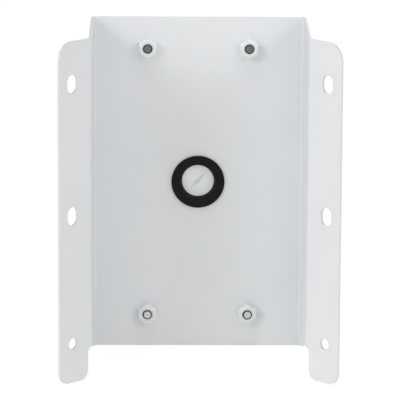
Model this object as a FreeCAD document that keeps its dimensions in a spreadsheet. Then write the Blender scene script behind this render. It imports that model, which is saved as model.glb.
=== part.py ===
# Corner mount bracket for a security camera, in millimetres.
#
# One sheet is folded into a channel with two side flanges. The flanges lie on the two
# faces of a building's outside corner, and the plate between the walls carries the camera.
# The origin is the middle of the camera's bolt pattern on the plate's outer face, +Y points
# away from the building and +Z points up.
import FreeCAD, Part
import math
import os
import Sketcher

SIZES = {
    # The folded sheet
    "height": 260.0,
    "sheet": 2.0,
    "inner_width": 161.0,
    "wall_depth": 95.0,
    "flange_width": 33.0,
    "flange_angle": 45.0,
    "bend_radius": 2.0,
    "upper_corner": 14.0,
    "lower_corner": 9.5,
    "tab_corner": 7.5,
    # The lower edge of each wall is cut back, which leaves the flange's end free
    "relief_rise": 24.5,
    "relief_land": 8.0,
    "relief_side": 6.0,
    "relief_reach": 5.1,
    "relief_corner": 4.5,
    "relief_clearance": 2.0,
    "cut_overrun": 5.0,
    # The holes for the wall anchors
    "anchor_line": 19.3,
    "anchor_pitch": 100.0,
    "slot_width": 10.0,
    "slot_length": 14.0,
    "anchor_hole": 8.5,
    # The four camera bolts and what sits on them
    "bolt_spacing_x": 78.0,
    "bolt_spacing_z": 210.0,
    "pattern_rise": 1.0,
    "thread": 8.0,
    "thread_play": 0.05,
    "bolt_length": 12.0,
    "bolt_tip_chamfer": 1.0,
    "head_flats": 13.0,
    "head_height": 5.3,
    "nut_flats": 14.0,
    "nut_height": 6.5,
    "nut_countersink": 0.5,
    "chamfer_circle": 0.95,
    "chamfer_slope": 30.0,
    "chamfer_reach": 3.0,
    "collar_width": 10.5,
    "collar_height": 1.5,
    "collar_play": 0.15,
    "washer_width": 16.0,
    "washer_height": 1.6,
    "washer_play": 0.2,
    "spring_width": 14.8,
    "spring_height": 2.0,
    "spring_play": 0.1,
    "spring_gap": 1.2,
    "spring_lean": 27.0,
    # The cable grommet and its slit membrane
    "grommet_hole": 32.0,
    "grommet_play": 0.1,
    "rear_lip_width": 41.0,
    "rear_lip_height": 2.2,
    "front_lip_width": 38.0,
    "front_lip_height": 3.4,
    "cable_bore": 24.5,
    "bore_mouth": 27.0,
    "lip_edge": 0.9,
    "membrane": 1.2,
    "membrane_recess": 0.4,
    "membrane_seat": 1.0,
    "membrane_play": 0.05,
    "slit_length": 18.0,
    "slit_width": 0.4,
    "slit_angle": 49.0,
}

doc = FreeCAD.newDocument("corner_mount_bracket")
sheet_of_sizes = doc.addObject("Spreadsheet::Sheet", "sizes")
for row, (name, value) in enumerate(SIZES.items(), start=1):
    sheet_of_sizes.set("A%d" % row, name)
    sheet_of_sizes.set("B%d" % row, str(value))
    sheet_of_sizes.setAlias("B%d" % row, name)
doc.recompute()


def new_body(label):
    """Add an empty body whose label names the sub-part."""
    body = doc.addObject("PartDesign::Body", label)
    body.Label = label
    body.AllowCompound = True
    return body


def origin_feature(body, role):
    """Return one of the body's own origin planes or axes."""
    return next(item for item in body.Origin.OriginFeatures if item.Role == role)


def new_sketch(body, name, plane, offsets=None):
    """Attach an empty sketch to an origin plane, moved or turned by sizes from the sheet."""
    sketch = body.newObject("Sketcher::SketchObject", name)
    sketch.AttachmentSupport = [(origin_feature(body, plane), "")]
    sketch.MapMode = "FlatFace"
    for path, expression in (offsets or {}).items():
        sketch.setExpression("AttachmentOffset." + path, expression)
    return sketch


def tie(sketch, kind, *places, to):
    """Add a dimension between places of a sketch and bind it to a size in the sheet."""
    index = sketch.addConstraint(Sketcher.Constraint(kind, *places))
    sketch.setExpression("Constraints[%d]" % index, to)


def finish_feature(feature, bound):
    """Bind a feature's properties to sizes in the sheet and recompute it."""
    for path, expression in bound.items():
        feature.setExpression(path, expression)
    doc.recompute()
    return feature


def pad(body, name, sketch, length, both_ways=False, back=False):
    """Pad a sketch by a length from the sheet."""
    feature = body.newObject("PartDesign::Pad", name)
    feature.Profile = sketch
    feature.Midplane = both_ways
    feature.Reversed = back
    return finish_feature(feature, {"Length": length})


def pocket(body, name, sketch, back=False, both_ways=False):
    """Cut a sketch through everything on one side, and make sure that it removes material."""
    doc.recompute()
    before = body.Shape.Volume
    feature = body.newObject("PartDesign::Pocket", name)
    feature.Profile = sketch
    feature.Type = "ThroughAll"
    feature.Reversed = back
    feature.Midplane = both_ways
    doc.recompute()
    if body.Shape.Volume >= before:
        raise RuntimeError(name + " cuts nothing")
    return feature


def closed_outline(sketch, corners):
    """Draw straight lines round the corners and join their ends."""
    count = len(corners)
    for start, end in zip(corners, corners[1:] + corners[:1]):
        sketch.addGeometry(Part.LineSegment(FreeCAD.Vector(*start, 0), FreeCAD.Vector(*end, 0)))
    for line in range(count):
        sketch.addConstraint(Sketcher.Constraint("Coincident", line, 2, (line + 1) % count, 1))


def circle(sketch, width):
    """Draw a circle of a given width round the sketch's origin."""
    index = sketch.addGeometry(Part.Circle(FreeCAD.Vector(0, 0, 0), FreeCAD.Vector(0, 0, 1), 1.0))
    sketch.addConstraint(Sketcher.Constraint("Coincident", index, 3, -1, 1))
    tie(sketch, "Diameter", index, 2.0, to=width)


def slot(sketch, width, length):
    """Draw an upright slot with round ends, centred on the sketch's origin."""
    radius = SIZES[width] / 2
    reach = SIZES[length] / 2 - radius
    upper_circle = Part.Circle(FreeCAD.Vector(0, reach, 0), FreeCAD.Vector(0, 0, 1), radius)
    lower_circle = Part.Circle(FreeCAD.Vector(0, -reach, 0), FreeCAD.Vector(0, 0, 1), radius)
    upper = sketch.addGeometry(Part.ArcOfCircle(upper_circle, 0.0, math.pi))
    left = sketch.addGeometry(Part.LineSegment(FreeCAD.Vector(-radius, reach, 0), FreeCAD.Vector(-radius, -reach, 0)))
    lower = sketch.addGeometry(Part.ArcOfCircle(lower_circle, math.pi, 2 * math.pi))
    right = sketch.addGeometry(Part.LineSegment(FreeCAD.Vector(radius, -reach, 0), FreeCAD.Vector(radius, reach, 0)))
    sketch.addConstraint(Sketcher.Constraint("Tangent", upper, 2, left, 1))
    sketch.addConstraint(Sketcher.Constraint("Tangent", left, 2, lower, 1))
    sketch.addConstraint(Sketcher.Constraint("Tangent", lower, 2, right, 1))
    sketch.addConstraint(Sketcher.Constraint("Tangent", right, 2, upper, 1))
    sketch.addConstraint(Sketcher.Constraint("Vertical", left))
    sketch.addConstraint(Sketcher.Constraint("Symmetric", upper, 3, lower, 3, -1, 1))
    tie(sketch, "Diameter", upper, 2 * radius, to="sizes." + width)
    tie(sketch, "DistanceY", lower, 3, upper, 3, 2 * reach, to="sizes.%s - sizes.%s" % (length, width))


def hexagon(sketch, flats):
    """Draw a hexagon round the sketch's origin, with a corner at the top, by its width over flats."""
    radius = 10.0
    corners = [(radius * math.sin(math.radians(60 * k)), radius * math.cos(math.radians(60 * k))) for k in range(6)]
    closed_outline(sketch, corners)
    guide = sketch.addGeometry(Part.Circle(FreeCAD.Vector(0, 0, 0), FreeCAD.Vector(0, 0, 1), radius), True)
    sketch.addConstraint(Sketcher.Constraint("Coincident", guide, 3, -1, 1))
    for line in range(6):
        sketch.addConstraint(Sketcher.Constraint("PointOnObject", line, 1, guide))
    for line in range(1, 6):
        sketch.addConstraint(Sketcher.Constraint("Equal", 0, line))
    sketch.addConstraint(Sketcher.Constraint("PointOnObject", 0, 1, -2))
    tie(sketch, "Diameter", guide, 2 * radius, to="2 * %s / sqrt(3)" % flats)


def leaning_box(sketch, width, height, lean=None):
    """Draw a four-sided outline round the sketch's origin, its upper side moved across by the lean."""
    closed_outline(sketch, [(-2.0, -1.0), (2.0, -1.0), (2.5, 1.0), (-1.5, 1.0)])
    sketch.addConstraint(Sketcher.Constraint("Horizontal", 0))
    sketch.addConstraint(Sketcher.Constraint("Horizontal", 2))
    sketch.addConstraint(Sketcher.Constraint("Symmetric", 0, 1, 2, 1, -1, 1))
    sketch.addConstraint(Sketcher.Constraint("Equal", 0, 2))
    tie(sketch, "DistanceX", 0, 1, 0, 2, 4.0, to=width)
    tie(sketch, "DistanceY", 1, 1, 1, 2, 2.0, to=height)
    if lean is None:
        sketch.addConstraint(Sketcher.Constraint("Vertical", 1))
        return
    tie(sketch, "DistanceX", 1, 1, 1, 2, 0.5, to=lean)


def edges_where(feature, test):
    """List the names of the feature's edges that pass a test."""
    return ["Edge%d" % number for number, edge in enumerate(feature.Shape.Edges, start=1) if test(edge)]


def near(value, target):
    """Tell whether two lengths agree."""
    return abs(value - target) < 0.01


def fillet(body, name, base, edges, radius):
    """Round the named edges of a feature."""
    feature = body.newObject("PartDesign::Fillet", name)
    feature.Base = (base, edges)
    return finish_feature(feature, {"Radius": radius})


def chamfer(body, name, base, edges, size):
    """Chamfer the named edges of a feature."""
    feature = body.newObject("PartDesign::Chamfer", name)
    feature.Base = (base, edges)
    return finish_feature(feature, {"Size": size})


def turn(body, kind, name, sketch):
    """Turn a sketch once round its own horizontal axis, to add or to cut material."""
    feature = body.newObject("PartDesign::" + kind, name)
    feature.Profile = sketch
    feature.ReferenceAxis = (sketch, ["H_Axis"])
    feature.Angle = 360
    doc.recompute()
    return feature


def round_hex_corners(body, name, centre, flats, side):
    """Cut the corners of a hexagon's free end to a cone; the side tells which way the cone widens."""
    sketch = new_sketch(body, name + "_outline", "YZ_Plane", centre)
    closed_outline(sketch, [(0.0, 6.0), (0.0, 9.0), (side * 2.0, 9.0)])
    sketch.addConstraint(Sketcher.Constraint("PointOnObject", 0, 1, -2))
    sketch.addConstraint(Sketcher.Constraint("Vertical", 0))
    sketch.addConstraint(Sketcher.Constraint("Horizontal", 1))
    tie(sketch, "DistanceY", -1, 1, 0, 1, 6.0, to="%s * sizes.chamfer_circle / 2" % flats)
    tie(sketch, "DistanceY", 0, 1, 0, 2, 3.0, to="sizes.chamfer_reach")
    ends = (1, 1, 1, 2) if side > 0 else (1, 2, 1, 1)
    tie(sketch, "DistanceX", *ends, 2.0, to="sizes.chamfer_reach * tan(sizes.chamfer_slope)")
    before = body.Shape.Volume
    groove = turn(body, "Groove", name, sketch)
    if body.Shape.Volume >= before:
        raise RuntimeError(name + " cuts nothing")
    return groove


def repeat(body, name, steps, originals=None):
    """Repeat features, or the whole body, once along each axis of the steps."""
    pattern = body.newObject("PartDesign::MultiTransform", name)
    if originals is None:
        pattern.TransformMode = "Whole shape"
    else:
        pattern.Originals = originals
    rows = []
    for axis, length in steps:
        row = body.newObject("PartDesign::LinearPattern", "%s_along_%s" % (name, axis[0].lower()))
        row.Direction = (origin_feature(body, axis), [""])
        row.setExpression("Length", length)
        row.Occurrences = 2
        rows.append(row)
    pattern.Transformations = rows
    body.Tip = pattern
    doc.recompute()
    return pattern


# The folded sheet: its right half is modelled and then mirrored
plate = new_body("corner_plate")
T = SIZES["sheet"]
HALF = SIZES["inner_width"] / 2
FOLD_Y = -(T + SIZES["wall_depth"])
ANGLE = math.radians(SIZES["flange_angle"])
ALONG = (math.cos(ANGLE), -math.sin(ANGLE))
OUT = (math.sin(ANGLE), math.cos(ANGLE))


def on_flange(along, out):
    """Return a point of the profile from its distances along the flange and out of its wall face."""
    return (HALF + along * ALONG[0] + out * OUT[0], FOLD_Y + along * ALONG[1] + out * OUT[1])


profile = new_sketch(plate, "bend_profile", "XY_Plane", {"Base.z": "-sizes.pattern_rise"})
closed_outline(profile, [
    (0.0, 0.0),
    (HALF + T, 0.0),
    on_flange(T * (1 - OUT[0]) / ALONG[0], T),
    on_flange(SIZES["flange_width"], T),
    on_flange(SIZES["flange_width"], 0.0),
    (HALF, FOLD_Y),
    (HALF, -T),
    (0.0, -T),
])
outer_face, outer_wall, flange_front, flange_end, flange_back, inner_wall, inner_face, middle = range(8)
profile.addConstraint(Sketcher.Constraint("Coincident", outer_face, 1, -1, 1))
for line in (outer_face, inner_face):
    profile.addConstraint(Sketcher.Constraint("Horizontal", line))
for line in (outer_wall, inner_wall, middle):
    profile.addConstraint(Sketcher.Constraint("Vertical", line))
profile.addConstraint(Sketcher.Constraint("Parallel", flange_front, flange_back))
profile.addConstraint(Sketcher.Constraint("Perpendicular", flange_end, flange_back))
tie(profile, "DistanceY", middle, 1, middle, 2, T, to="sizes.sheet")
tie(profile, "DistanceX", -1, 1, inner_wall, 2, HALF, to="sizes.inner_width / 2")
tie(profile, "DistanceX", inner_wall, 2, outer_wall, 1, T, to="sizes.sheet")
tie(profile, "DistanceY", inner_wall, 1, inner_wall, 2, SIZES["wall_depth"], to="sizes.wall_depth")
tie(profile, "Distance", flange_back, SIZES["flange_width"], to="sizes.flange_width")
tie(profile, "Distance", flange_end, T, to="sizes.sheet")
tie(profile, "Angle", flange_back, math.pi - ANGLE, to="(180 - sizes.flange_angle) * 1 deg")
strip = pad(plate, "strip", profile, "sizes.height", both_ways=True)


def upright_at(x, y):
    """Make a test for the upright edge at a place in plan."""
    def test(edge):
        centre = edge.CenterOfMass
        return near(centre.x, x) and near(centre.y, y) and near(edge.BoundBox.ZLength, SIZES["height"])
    return test


outer_fold = on_flange(T * (1 - OUT[0]) / ALONG[0], T)
tight = edges_where(strip, upright_at(HALF, -T)) + edges_where(strip, upright_at(*outer_fold))
inner_bends = fillet(plate, "inner_bends", strip, tight, "sizes.bend_radius")
wide = edges_where(inner_bends, upright_at(HALF + T, 0.0)) + edges_where(inner_bends, upright_at(HALF, FOLD_Y))
outer_bends = fillet(plate, "outer_bends", inner_bends, wide, "sizes.bend_radius + sizes.sheet")

# The lower edge of the wall rises from the plate's bend to a level land beside the flange
BOTTOM = -SIZES["height"] / 2
RELIEF_TOP = BOTTOM + SIZES["relief_rise"]
BELOW = SIZES["cut_overrun"]
wall_cut = new_sketch(plate, "wall_cut_back", "YZ_Plane", {"Base.y": "-sizes.pattern_rise"})
bend_y = -(T + SIZES["bend_radius"])
land_y = FOLD_Y + SIZES["relief_land"]
side_y = FOLD_Y + SIZES["relief_side"]
closed_outline(wall_cut, [
    (bend_y, BOTTOM),
    (land_y, RELIEF_TOP),
    (side_y, RELIEF_TOP),
    (side_y, BOTTOM - BELOW),
    (bend_y, BOTTOM - BELOW),
])
rise, land, fold_side, under, plate_side = range(5)
for line in (land, under):
    wall_cut.addConstraint(Sketcher.Constraint("Horizontal", line))
for line in (fold_side, plate_side):
    wall_cut.addConstraint(Sketcher.Constraint("Vertical", line))
tie(wall_cut, "DistanceX", rise, 1, -1, 1, -bend_y, to="sizes.sheet + sizes.bend_radius")
tie(wall_cut, "DistanceY", rise, 1, -1, 1, -BOTTOM, to="sizes.height / 2")
tie(wall_cut, "DistanceY", rise, 1, rise, 2, SIZES["relief_rise"], to="sizes.relief_rise")
tie(wall_cut, "DistanceX", rise, 2, -1, 1, -land_y, to="sizes.sheet + sizes.wall_depth - sizes.relief_land")
tie(wall_cut, "DistanceX", land, 2, land, 1, land_y - side_y, to="sizes.relief_land - sizes.relief_side")
tie(wall_cut, "DistanceY", plate_side, 1, plate_side, 2, BELOW, to="sizes.cut_overrun")
pocket(plate, "wall_relief", wall_cut, back=True)


def flange_place(along="0", up="0"):
    """Place a sketch on the flange's wall face, at a distance along it and above its mid-height."""
    return {
        "Base.x": "sizes.inner_width / 2 + (%s) * cos(sizes.flange_angle)" % along,
        "Base.y": "%s - sizes.pattern_rise" % up,
        "Base.z": "sizes.sheet + sizes.wall_depth + (%s) * sin(sizes.flange_angle)" % along,
        "Rotation.Axis.x": "0",
        "Rotation.Axis.y": "1",
        "Rotation.Axis.z": "0",
        "Rotation.Angle": "-sizes.flange_angle * 1 deg",
    }


# The inner edge of the flange's free end runs down just outside the bend
EDGE = (T + SIZES["bend_radius"]) * math.tan(ANGLE / 2) + SIZES["relief_clearance"]
REACH = SIZES["relief_reach"]
CORNER = SIZES["relief_corner"]
tab_cut = new_sketch(plate, "tab_cut_free", "XZ_Plane", flange_place(up="-sizes.height / 2 + sizes.relief_rise"))
DEPTH = SIZES["relief_rise"] + BELOW
path_points = [(EDGE - CORNER, 0.0), (-REACH, 0.0), (-REACH, -DEPTH), (EDGE, -DEPTH), (EDGE, -CORNER)]
for start, end in zip(path_points, path_points[1:]):
    tab_cut.addGeometry(Part.LineSegment(FreeCAD.Vector(*start, 0), FreeCAD.Vector(*end, 0)))
round_part = Part.Circle(FreeCAD.Vector(EDGE - CORNER, -CORNER, 0), FreeCAD.Vector(0, 0, 1), CORNER)
tab_cut.addGeometry(Part.ArcOfCircle(round_part, 0.0, math.pi / 2))
top, far_side, base, tab_side, corner_arc = range(5)
for line, following in ((top, far_side), (far_side, base), (base, tab_side)):
    tab_cut.addConstraint(Sketcher.Constraint("Coincident", line, 2, following, 1))
tab_cut.addConstraint(Sketcher.Constraint("Tangent", tab_side, 2, corner_arc, 1))
tab_cut.addConstraint(Sketcher.Constraint("Tangent", corner_arc, 2, top, 1))
for line in (top, base):
    tab_cut.addConstraint(Sketcher.Constraint("Horizontal", line))
for line in (far_side, tab_side):
    tab_cut.addConstraint(Sketcher.Constraint("Vertical", line))
tab_cut.addConstraint(Sketcher.Constraint("PointOnObject", top, 2, -1))
tie(tab_cut, "Radius", corner_arc, CORNER, to="sizes.relief_corner")
tie(tab_cut, "DistanceX", far_side, 1, -1, 1, REACH, to="sizes.relief_reach")
tie(tab_cut, "DistanceY", far_side, 2, far_side, 1, DEPTH, to="sizes.relief_rise + sizes.cut_overrun")
tie(tab_cut, "DistanceX", -1, 1, tab_side, 1, EDGE,
    to="(sizes.sheet + sizes.bend_radius) * tan(sizes.flange_angle / 2) + sizes.relief_clearance")
free_end = pocket(plate, "free_end", tab_cut)


def flange_corner(along, up):
    """Make a test for the short edge through the sheet at a corner of the flange."""
    x, y = on_flange(along, T / 2)
    height = up - SIZES["pattern_rise"]

    def test(edge):
        centre = edge.CenterOfMass
        return near(edge.Length, T) and near(centre.x, x) and near(centre.y, y) and near(centre.z, height)
    return test


upper_edge = edges_where(free_end, flange_corner(SIZES["flange_width"], -BOTTOM))
rounded_top = fillet(plate, "upper_corner_round", free_end, upper_edge, "sizes.upper_corner")
lower_edge = edges_where(rounded_top, flange_corner(SIZES["flange_width"], BOTTOM))
rounded_bottom = fillet(plate, "lower_corner_round", rounded_top, lower_edge, "sizes.lower_corner")
tab_edge = edges_where(rounded_bottom, flange_corner(EDGE, BOTTOM))
fillet(plate, "tab_corner_round", rounded_bottom, tab_edge, "sizes.tab_corner")

slot_outline = new_sketch(plate, "anchor_slot_outline", "XZ_Plane",
                          flange_place("sizes.anchor_line", "-(sizes.slot_length - sizes.slot_width) / 2"))
slot(slot_outline, "slot_width", "slot_length")
middle_slot = pocket(plate, "anchor_slot", slot_outline)
repeat(plate, "anchor_slots", [("Z_Axis", "sizes.anchor_pitch")], [middle_slot])

hole_outline = new_sketch(plate, "anchor_hole_outline", "XZ_Plane",
                          flange_place("sizes.anchor_line", "-sizes.anchor_pitch"))
circle(hole_outline, "sizes.anchor_hole")
pocket(plate, "anchor_hole", hole_outline)

both_halves = plate.newObject("PartDesign::Mirrored", "both_halves")
both_halves.TransformMode = "Whole shape"
both_halves.MirrorPlane = (origin_feature(plate, "YZ_Plane"), [""])
plate.Tip = both_halves
doc.recompute()

# The plate's holes: one for each bolt and one for the grommet
FIRST_BOLT = {
    "Base.x": "-sizes.bolt_spacing_x / 2",
    "Base.y": "-sizes.bolt_spacing_z / 2",
}
BOLT_STEPS = [("X_Axis", "sizes.bolt_spacing_x"), ("Z_Axis", "sizes.bolt_spacing_z")]
collar_outline = new_sketch(plate, "bolt_hole_outline", "XZ_Plane", {**FIRST_BOLT, "Base.z": "sizes.sheet"})
circle(collar_outline, "sizes.collar_width + 2 * sizes.collar_play")
bolt_hole = pocket(plate, "bolt_hole", collar_outline)
repeat(plate, "bolt_holes", BOLT_STEPS, [bolt_hole])
cable_outline = new_sketch(plate, "grommet_hole_outline", "XZ_Plane", {"Base.z": "sizes.sheet"})
circle(cable_outline, "sizes.grommet_hole")
pocket(plate, "grommet_hole", cable_outline)

# Weld nuts on the plate's inner face, each with a collar that centres it in its hole
nuts = new_body("weld_nuts")
hex_outline = new_sketch(nuts, "nut_hexagon", "XZ_Plane", {**FIRST_BOLT, "Base.z": "sizes.sheet"})
hexagon(hex_outline, "sizes.nut_flats")
pad(nuts, "nut_block", hex_outline, "sizes.nut_height")
NUT_END = {
    "Base.x": "-(sizes.sheet + sizes.nut_height)",
    "Base.y": FIRST_BOLT["Base.y"],
    "Base.z": FIRST_BOLT["Base.x"],
}
round_hex_corners(nuts, "nut_corners", NUT_END, "sizes.nut_flats", side=1)
collar = new_sketch(nuts, "collar_circle", "XZ_Plane", {**FIRST_BOLT, "Base.z": "sizes.sheet"})
circle(collar, "sizes.collar_width")
pad(nuts, "nut_collar", collar, "sizes.collar_height", back=True)
bore = new_sketch(nuts, "nut_bore_circle", "XZ_Plane", {**FIRST_BOLT, "Base.z": "sizes.sheet"})
circle(bore, "sizes.thread + 2 * sizes.thread_play")
nut_bore = pocket(nuts, "nut_bore", bore, both_ways=True)
NUT_FACE = -(T + SIZES["nut_height"])
BORE_WIDTH = SIZES["thread"] + 2 * SIZES["thread_play"]


def ring_edge(y, width):
    """Make a test for a round edge about the Y direction, by its place and its width."""
    def test(edge):
        return near(edge.CenterOfMass.y, y) and near(edge.Length, math.pi * width)
    return test


chamfer(nuts, "bore_countersink", nut_bore, edges_where(nut_bore, ring_edge(NUT_FACE, BORE_WIDTH)),
        "sizes.nut_countersink")
repeat(nuts, "four_nuts", BOLT_STEPS)

# Bolts from the plate's outer face, over a flat washer and a spring washer
UNDER_HEAD = "(sizes.washer_height + sizes.spring_height)"
bolts = new_body("hex_bolts")
head_outline = new_sketch(bolts, "head_hexagon", "XZ_Plane", {**FIRST_BOLT, "Base.z": "-" + UNDER_HEAD})
hexagon(head_outline, "sizes.head_flats")
pad(bolts, "bolt_head", head_outline, "sizes.head_height", back=True)
HEAD_END = {
    "Base.x": UNDER_HEAD + " + sizes.head_height",
    "Base.y": FIRST_BOLT["Base.y"],
    "Base.z": FIRST_BOLT["Base.x"],
}
round_hex_corners(bolts, "head_corners", HEAD_END, "sizes.head_flats", side=-1)
shank_outline = new_sketch(bolts, "shank_circle", "XZ_Plane", {**FIRST_BOLT, "Base.z": "-" + UNDER_HEAD})
circle(shank_outline, "sizes.thread")
shank = pad(bolts, "bolt_shank", shank_outline, "sizes.bolt_length")
TIP_Y = SIZES["washer_height"] + SIZES["spring_height"] - SIZES["bolt_length"]
chamfer(bolts, "bolt_tip", shank, edges_where(shank, ring_edge(TIP_Y, SIZES["thread"])), "sizes.bolt_tip_chamfer")
repeat(bolts, "four_bolts", BOLT_STEPS)

washers = new_body("flat_washers")
washer_outline = new_sketch(washers, "washer_circle", "XZ_Plane", FIRST_BOLT)
circle(washer_outline, "sizes.washer_width")
pad(washers, "washer_disc", washer_outline, "sizes.washer_height", back=True)
washer_hole = new_sketch(washers, "washer_hole_circle", "XZ_Plane", FIRST_BOLT)
circle(washer_hole, "sizes.thread + 2 * sizes.washer_play")
pocket(washers, "washer_hole", washer_hole, both_ways=True)
repeat(washers, "four_flat_washers", BOLT_STEPS)

springs = new_body("spring_washers")
SPRING_FOOT = {**FIRST_BOLT, "Base.z": "-sizes.washer_height"}
spring_outline = new_sketch(springs, "spring_circle", "XZ_Plane", SPRING_FOOT)
circle(spring_outline, "sizes.spring_width")
pad(springs, "spring_disc", spring_outline, "sizes.spring_height", back=True)
spring_hole = new_sketch(springs, "spring_hole_circle", "XZ_Plane", SPRING_FOOT)
circle(spring_hole, "sizes.thread + 2 * sizes.spring_play")
pocket(springs, "spring_hole", spring_hole, both_ways=True)
split = new_sketch(springs, "split_outline", "XY_Plane", {
    "Base.x": FIRST_BOLT["Base.x"],
    "Base.y": "sizes.washer_height + sizes.spring_height / 2",
    "Base.z": FIRST_BOLT["Base.y"],
})
SPLIT_HEIGHT = "(sizes.spring_height + sizes.cut_overrun)"
leaning_box(split, "sizes.spring_gap", SPLIT_HEIGHT, SPLIT_HEIGHT + " * tan(sizes.spring_lean)")
pocket(springs, "spring_split", split, back=True)
repeat(springs, "four_spring_washers", BOLT_STEPS)

# The rubber grommet: a lip on each side of the sheet, a bore that narrows towards the front
# and a seat there for the membrane
grommet = new_body("cable_grommet")
rear_y = -(T + SIZES["rear_lip_height"])
mouth_r = SIZES["bore_mouth"] / 2
bore_r = SIZES["cable_bore"] / 2
seat_r = bore_r + SIZES["membrane_seat"]
neck_r = SIZES["grommet_hole"] / 2 - SIZES["grommet_play"]
seat_high = SIZES["front_lip_height"] - SIZES["membrane_recess"]
seat_low = seat_high - SIZES["membrane"]
section = new_sketch(grommet, "grommet_section", "YZ_Plane")
closed_outline(section, [
    (rear_y, mouth_r),
    (rear_y, SIZES["rear_lip_width"] / 2),
    (-T, SIZES["rear_lip_width"] / 2),
    (-T, neck_r),
    (0.0, neck_r),
    (0.0, SIZES["front_lip_width"] / 2),
    (SIZES["front_lip_height"], SIZES["front_lip_width"] / 2),
    (SIZES["front_lip_height"], bore_r),
    (seat_high, bore_r),
    (seat_high, seat_r),
    (seat_low, seat_r),
    (seat_low, bore_r),
])
(rear_end, rear_rim, rear_side, neck, front_side, front_rim,
 front_end, front_bore, seat_front, seat_floor, seat_rear, tapered_bore) = range(12)
for line in (rear_end, rear_side, front_side, front_end, seat_front, seat_rear):
    section.addConstraint(Sketcher.Constraint("Vertical", line))
for line in (rear_rim, neck, front_rim, front_bore, seat_floor):
    section.addConstraint(Sketcher.Constraint("Horizontal", line))
section.addConstraint(Sketcher.Constraint("PointOnObject", front_side, 1, -2))
tie(section, "DistanceX", neck, 1, neck, 2, T, to="sizes.sheet")
tie(section, "DistanceX", rear_rim, 1, rear_rim, 2, 1.0, to="sizes.rear_lip_height")
tie(section, "DistanceX", front_rim, 1, front_rim, 2, 1.0, to="sizes.front_lip_height")
tie(section, "DistanceX", seat_floor, 2, seat_floor, 1, 1.0, to="sizes.membrane")
tie(section, "DistanceX", front_bore, 2, front_bore, 1, 1.0, to="sizes.membrane_recess")
tie(section, "DistanceY", -1, 1, rear_rim, 1, 1.0, to="sizes.rear_lip_width / 2")
tie(section, "DistanceY", -1, 1, front_rim, 1, 1.0, to="sizes.front_lip_width / 2")
tie(section, "DistanceY", -1, 1, neck, 1, 1.0, to="sizes.grommet_hole / 2 - sizes.grommet_play")
tie(section, "DistanceY", -1, 1, front_bore, 1, 1.0, to="sizes.cable_bore / 2")
tie(section, "DistanceY", -1, 1, tapered_bore, 1, 1.0, to="sizes.cable_bore / 2")
tie(section, "DistanceY", -1, 1, rear_end, 1, 1.0, to="sizes.bore_mouth / 2")
tie(section, "DistanceY", -1, 1, seat_floor, 1, 1.0, to="sizes.cable_bore / 2 + sizes.membrane_seat")
ring = turn(grommet, "Revolution", "grommet_ring", section)
lip_edges = edges_where(ring, ring_edge(rear_y, SIZES["rear_lip_width"]))
lip_edges += edges_where(ring, ring_edge(rear_y, SIZES["bore_mouth"]))
lip_edges += edges_where(ring, ring_edge(SIZES["front_lip_height"], SIZES["front_lip_width"]))
chamfer(grommet, "soft_lips", ring, lip_edges, "sizes.lip_edge")

membrane = new_body("slit_membrane")
MEMBRANE_BACK = {"Base.z": "sizes.membrane + sizes.membrane_recess - sizes.front_lip_height"}
disc_outline = new_sketch(membrane, "membrane_circle", "XZ_Plane", MEMBRANE_BACK)
circle(disc_outline, "sizes.cable_bore + 2 * sizes.membrane_seat - 2 * sizes.membrane_play")
pad(membrane, "membrane_disc", disc_outline, "sizes.membrane", back=True)
slit_outline = new_sketch(membrane, "slit_outline", "XZ_Plane",
                          {**MEMBRANE_BACK, "Rotation.Angle": "sizes.slit_angle * 1 deg"})
leaning_box(slit_outline, "sizes.slit_length", "sizes.slit_width")
pocket(membrane, "slit", slit_outline, both_ways=True)

# Every sub-part is checked before anything is written
doc.recompute()
for item in doc.Objects:
    if "Invalid" in item.State or "Error" in item.State:
        raise RuntimeError("%s did not build: %s" % (item.Label, item.State))
parts = [plate, nuts, bolts, springs, washers, grommet, membrane]
for body in parts:
    if body.Shape.isNull() or not body.Shape.isValid():
        raise RuntimeError(body.Label + " has no valid shape")
os.makedirs("parts", exist_ok=True)
for body in parts:
    body.Shape.exportStep("parts/%s.step" % body.Label)
    print(body.Label, len(body.Shape.Solids), round(body.Shape.Volume, 1))
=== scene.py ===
"""Corner mount bracket for a security camera: its finishes, its fine pieces and the studio."""
import logging
import math
from dataclasses import dataclass, field
from enum import Enum
from typing import Any, Callable, Iterable

import bpy
from mathutils import Matrix, Vector


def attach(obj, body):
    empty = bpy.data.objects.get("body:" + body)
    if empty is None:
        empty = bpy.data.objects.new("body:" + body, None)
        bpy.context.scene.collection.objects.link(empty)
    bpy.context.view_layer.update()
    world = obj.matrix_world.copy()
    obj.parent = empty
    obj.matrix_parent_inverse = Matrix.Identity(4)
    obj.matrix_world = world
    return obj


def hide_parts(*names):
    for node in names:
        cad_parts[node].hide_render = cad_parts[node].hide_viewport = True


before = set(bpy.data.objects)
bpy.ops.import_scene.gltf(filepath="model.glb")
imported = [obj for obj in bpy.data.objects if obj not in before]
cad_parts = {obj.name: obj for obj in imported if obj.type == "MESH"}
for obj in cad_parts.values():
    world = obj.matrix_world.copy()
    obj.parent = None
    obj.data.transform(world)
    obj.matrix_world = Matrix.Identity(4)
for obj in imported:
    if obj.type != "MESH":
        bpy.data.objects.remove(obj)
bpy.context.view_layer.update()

ROOT = "root"
FULL_TURN = 2 * math.pi
SLIT_DEG = 46.0  # the slit's turn from level, up to the right in the photo
PAST = 1.0  # how far a cutter reaches past what it cuts, in millimetres
SEAM = 0.001  # how near the two ends of a turned mesh count as one, in millimetres
STRAIGHT = 0.99  # the least cosine that counts as along an axis
FLATS_FIRST = 80  # how much more than small faces the large ones bend the shading

logging.basicConfig(level=logging.INFO, format="%(levelname)s %(message)s")
log = logging.getLogger("corner_bracket")


def mm(length: float) -> float:
    """Turn a length in millimetres to metres."""
    return length / 1000.0


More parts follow.
